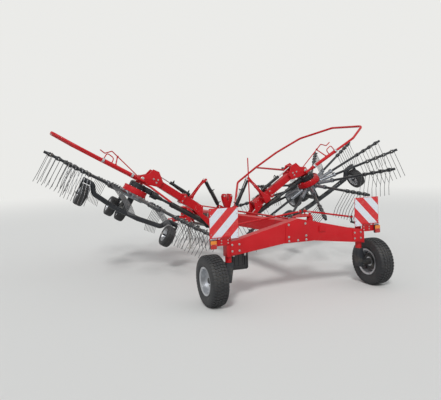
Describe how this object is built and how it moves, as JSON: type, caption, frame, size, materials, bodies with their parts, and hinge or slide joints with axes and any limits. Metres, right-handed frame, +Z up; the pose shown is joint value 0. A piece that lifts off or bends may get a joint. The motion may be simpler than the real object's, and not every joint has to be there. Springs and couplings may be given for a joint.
{
  "type": "twin rotor hay rake",
  "caption": "Trailed twin rotor hay rake with steered rear axle, two folding telescopic booms, tined rotors on castor chassis and guard hoops, shown with the rotors lifted.",
  "frame": {"origin": "ground point under the middle of the rake's outline", "axes": "+X to the rake's right, +Y forward to the tractor, +Z up"},
  "size_m": [7.3366, 5.385, 2.7046],
  "materials": {
    "red_paint": "gloss enamel, light dust",
    "graphite_paint": "satin dark grey enamel",
    "black_paint": "satin black enamel",
    "board_sheet": "reflective sheet with red and white stripes",
    "lamp_lens": "ribbed clear lens",
    "black_plastic": "moulded, matt",
    "guard_plastic": "moulded guard tube, matt",
    "zinc_steel": "dull zinc plate",
    "silver_rim": "silver enamel, dusty",
    "tyre_rubber": "black rubber, dusty",
    "chrome_rod": "polished",
    "cast_silver": "silver-grey enamel on castings",
    "tine_steel": "dark grey spring steel, worn at the tips"
  },
  "bodies": {
    "frame": {"main_frame": "red_paint", "rear_axle": "red_paint", "warning_boards": "board_sheet", "lamps": "lamp_lens", "wheel_chock": "black_plastic", "central_gearbox": "graphite_paint", "drive_line": "guard_plastic"},
    "headstock": {"headstock": "red_paint"},
    "jack": {"parking_jack": "zinc_steel"},
    "bellcrank": {"bellcrank": "red_paint"},
    "steering_rod": {"steering_rod": "red_paint"},
    "tie_rod_l": {"tie_rod_l": "red_paint"},
    "knuckle_l": {"knuckle_l": "graphite_paint"},
    "road_wheel_l": {"road_rim_l": "silver_rim", "road_tyre_l": "tyre_rubber"},
    "boom_l": {"boom_outer_l": "red_paint", "reach_barrel_l": "black_paint", "shaft_tube_l": "guard_plastic"},
    "arm_l": {"boom_inner_l": "red_paint", "reach_rod_l": "chrome_rod", "rotor_gearbox_l": "graphite_paint", "rotor_head_l": "red_paint", "guard_l": "red_paint", "chassis_l": "graphite_paint"},
    "lift_barrel_l": {"lift_barrel_l": "black_paint"},
    "lift_rod_l": {"lift_rod_l": "chrome_rod"},
    "rotor_l": {"rotor_hub_l": "cast_silver", "rotor_arms_l": "graphite_paint", "tines_l": "tine_steel"},
    "castor_l": {"castor_l": "cast_silver"},
    "wheel_outer_l": {"wheel_outer_l": "tyre_rubber"},
    "wheel_inner_l": {"wheel_inner_l": "tyre_rubber"},
    "wheel_twin_l": {"wheel_twin_l": "tyre_rubber"},
    "tie_rod_r": {"tie_rod_r": "red_paint"},
    "knuckle_r": {"knuckle_r": "graphite_paint"},
    "road_wheel_r": {"road_rim_r": "silver_rim", "road_tyre_r": "tyre_rubber"},
    "boom_r": {"boom_outer_r": "red_paint", "reach_barrel_r": "black_paint", "shaft_tube_r": "guard_plastic"},
    "arm_r": {"boom_inner_r": "red_paint", "reach_rod_r": "chrome_rod", "rotor_gearbox_r": "graphite_paint", "rotor_head_r": "red_paint", "guard_r": "red_paint", "chassis_r": "graphite_paint"},
    "lift_barrel_r": {"lift_barrel_r": "black_paint"},
    "lift_rod_r": {"lift_rod_r": "chrome_rod"},
    "rotor_r": {"rotor_hub_r": "cast_silver", "rotor_arms_r": "graphite_paint", "tines_r": "tine_steel"},
    "castor_r": {"castor_r": "cast_silver"},
    "wheel_outer_r": {"wheel_outer_r": "tyre_rubber"},
    "wheel_inner_r": {"wheel_inner_r": "tyre_rubber"},
    "wheel_twin_r": {"wheel_twin_r": "tyre_rubber"}
  },
  "joints": [
    {"name": "headstock_turn", "type": "hinge", "parent": "frame", "child": "headstock", "pos_m": [0, 2.37, 0], "axis": [0, 0, 1], "range_deg": [-60, 60]},
    {"name": "jack_slide", "type": "slide", "parent": "frame", "child": "jack", "axis": [0, 0, 1], "range_m": [0, 0.35]},
    {"name": "bellcrank_turn", "type": "hinge", "parent": "frame", "child": "bellcrank", "pos_m": [0.4, -2.095, 0], "axis": [0, 0, 1], "range_deg": [-27, 27]},
    {"name": "steering_rod_turn", "type": "hinge", "parent": "bellcrank", "child": "steering_rod", "pos_m": [0.12, -2.095, 0], "axis": [0, 0, 1], "range_deg": [-27, 27]},
    {"name": "tie_rod_l_turn", "type": "hinge", "parent": "bellcrank", "child": "tie_rod_l", "pos_m": [0.36, -1.895, 0], "axis": [0, 0, 1], "range_deg": [-27, 27]},
    {"name": "knuckle_l_steer", "type": "hinge", "parent": "frame", "child": "knuckle_l", "pos_m": [-1.11, -2.33, 0], "axis": [0, 0, 1], "range_deg": [-27, 27]},
    {"name": "road_wheel_l_spin", "type": "hinge", "parent": "knuckle_l", "child": "road_wheel_l", "pos_m": [-1.37, -2.33, 0.365], "axis": [1, 0, 0], "continuous": true},
    {"name": "boom_l_lift", "type": "hinge", "parent": "frame", "child": "boom_l", "pos_m": [-0.34, 0.15, 0.76], "axis": [0, 1, 0], "range_deg": [-29.4, 50]},
    {"name": "arm_l_reach", "type": "slide", "parent": "boom_l", "child": "arm_l", "axis": [-0.83, 0, 0.5577], "range_m": [0, 0.25]},
    {"name": "lift_barrel_l_turn", "type": "hinge", "parent": "frame", "child": "lift_barrel_l", "pos_m": [-0.1, 0.32, 1.1], "axis": [0, 1, 0], "range_deg": [-40.76, 69.25]},
    {"name": "lift_rod_l_slide", "type": "slide", "parent": "lift_barrel_l", "child": "lift_rod_l", "axis": [-0.4467, 0, 0.8947], "range_m": [-0.1973, 0.1165]},
    {"name": "rotor_l_spin", "type": "hinge", "parent": "arm_l", "child": "rotor_l", "pos_m": [-1.90063, 0.15, 1.44967], "axis": [0.4902, -0.0541, 0.8699], "continuous": true},
    {"name": "castor_l_swivel", "type": "hinge", "parent": "arm_l", "child": "castor_l", "pos_m": [-1.87899, 0.96381, 1.48807], "axis": [0.4902, -0.0541, 0.8699], "continuous": true},
    {"name": "wheel_outer_l_spin", "type": "hinge", "parent": "arm_l", "child": "wheel_outer_l", "pos_m": [-2.86069, -0.07903, 1.53844], "axis": [-0.8712, 0, 0.4909], "continuous": true},
    {"name": "wheel_inner_l_spin", "type": "hinge", "parent": "arm_l", "child": "wheel_inner_l", "pos_m": [-1.32736, -0.07903, 0.67445], "axis": [-0.8712, 0, 0.4909], "continuous": true},
    {"name": "wheel_twin_l_spin", "type": "hinge", "parent": "castor_l", "child": "wheel_twin_l", "pos_m": [-2.06788, 0.90453, 1.15285], "axis": [-0.8712, 0, 0.4909], "continuous": true},
    {"name": "tie_rod_r_turn", "type": "hinge", "parent": "bellcrank", "child": "tie_rod_r", "pos_m": [0.44, -1.895, 0], "axis": [0, 0, 1], "range_deg": [-27, 27]},
    {"name": "knuckle_r_steer", "type": "hinge", "parent": "frame", "child": "knuckle_r", "pos_m": [1.11, -2.33, 0], "axis": [0, 0, 1], "range_deg": [-27, 27]},
    {"name": "road_wheel_r_spin", "type": "hinge", "parent": "knuckle_r", "child": "road_wheel_r", "pos_m": [1.37, -2.33, 0.365], "axis": [1, 0, 0], "continuous": true},
    {"name": "boom_r_lift", "type": "hinge", "parent": "frame", "child": "boom_r", "pos_m": [0.34, 0.15, 0.76], "axis": [0, -1, 0], "range_deg": [-29.4, 50]},
    {"name": "arm_r_reach", "type": "slide", "parent": "boom_r", "child": "arm_r", "axis": [0.83, 0, 0.5577], "range_m": [0, 0.25]},
    {"name": "lift_barrel_r_turn", "type": "hinge", "parent": "frame", "child": "lift_barrel_r", "pos_m": [0.1, -0.02, 1.1], "axis": [0, -1, 0], "range_deg": [-40.76, 69.25]},
    {"name": "lift_rod_r_slide", "type": "slide", "parent": "lift_barrel_r", "child": "lift_rod_r", "axis": [0.4467, 0, 0.8947], "range_m": [-0.1973, 0.1165]},
    {"name": "rotor_r_spin", "type": "hinge", "parent": "arm_r", "child": "rotor_r", "pos_m": [1.90063, 0.15, 1.44967], "axis": [-0.4902, -0.0541, 0.8699], "continuous": true},
    {"name": "castor_r_swivel", "type": "hinge", "parent": "arm_r", "child": "castor_r", "pos_m": [1.87899, 0.96381, 1.48807], "axis": [-0.4902, -0.0541, 0.8699], "continuous": true},
    {"name": "wheel_outer_r_spin", "type": "hinge", "parent": "arm_r", "child": "wheel_outer_r", "pos_m": [2.86069, -0.07903, 1.53844], "axis": [0.8712, 0, 0.4909], "continuous": true},
    {"name": "wheel_inner_r_spin", "type": "hinge", "parent": "arm_r", "child": "wheel_inner_r", "pos_m": [1.32736, -0.07903, 0.67445], "axis": [0.8712, 0, 0.4909], "continuous": true},
    {"name": "wheel_twin_r_spin", "type": "hinge", "parent": "castor_r", "child": "wheel_twin_r", "pos_m": [2.06788, 0.90453, 1.15285], "axis": [0.8712, 0, 0.4909], "continuous": true}
  ],
  "couplings": [
    {"joint": "bellcrank_turn", "follows": "headstock_turn", "ratio": -0.45},
    {"joint": "steering_rod_turn", "follows": "headstock_turn", "ratio": 0.45},
    {"joint": "tie_rod_l_turn", "follows": "headstock_turn", "ratio": 0.45},
    {"joint": "knuckle_l_steer", "follows": "headstock_turn", "ratio": -0.45},
    {"joint": "lift_barrel_l_turn", "follows": "boom_l_lift", "ratio": 1.383},
    {"joint": "lift_rod_l_slide", "follows": "boom_l_lift", "m_per_rad": -0.225},
    {"joint": "tie_rod_r_turn", "follows": "headstock_turn", "ratio": 0.45},
    {"joint": "knuckle_r_steer", "follows": "headstock_turn", "ratio": -0.45},
    {"joint": "lift_barrel_r_turn", "follows": "boom_r_lift", "ratio": 1.383},
    {"joint": "lift_rod_r_slide", "follows": "boom_r_lift", "m_per_rad": -0.225}
  ]
}
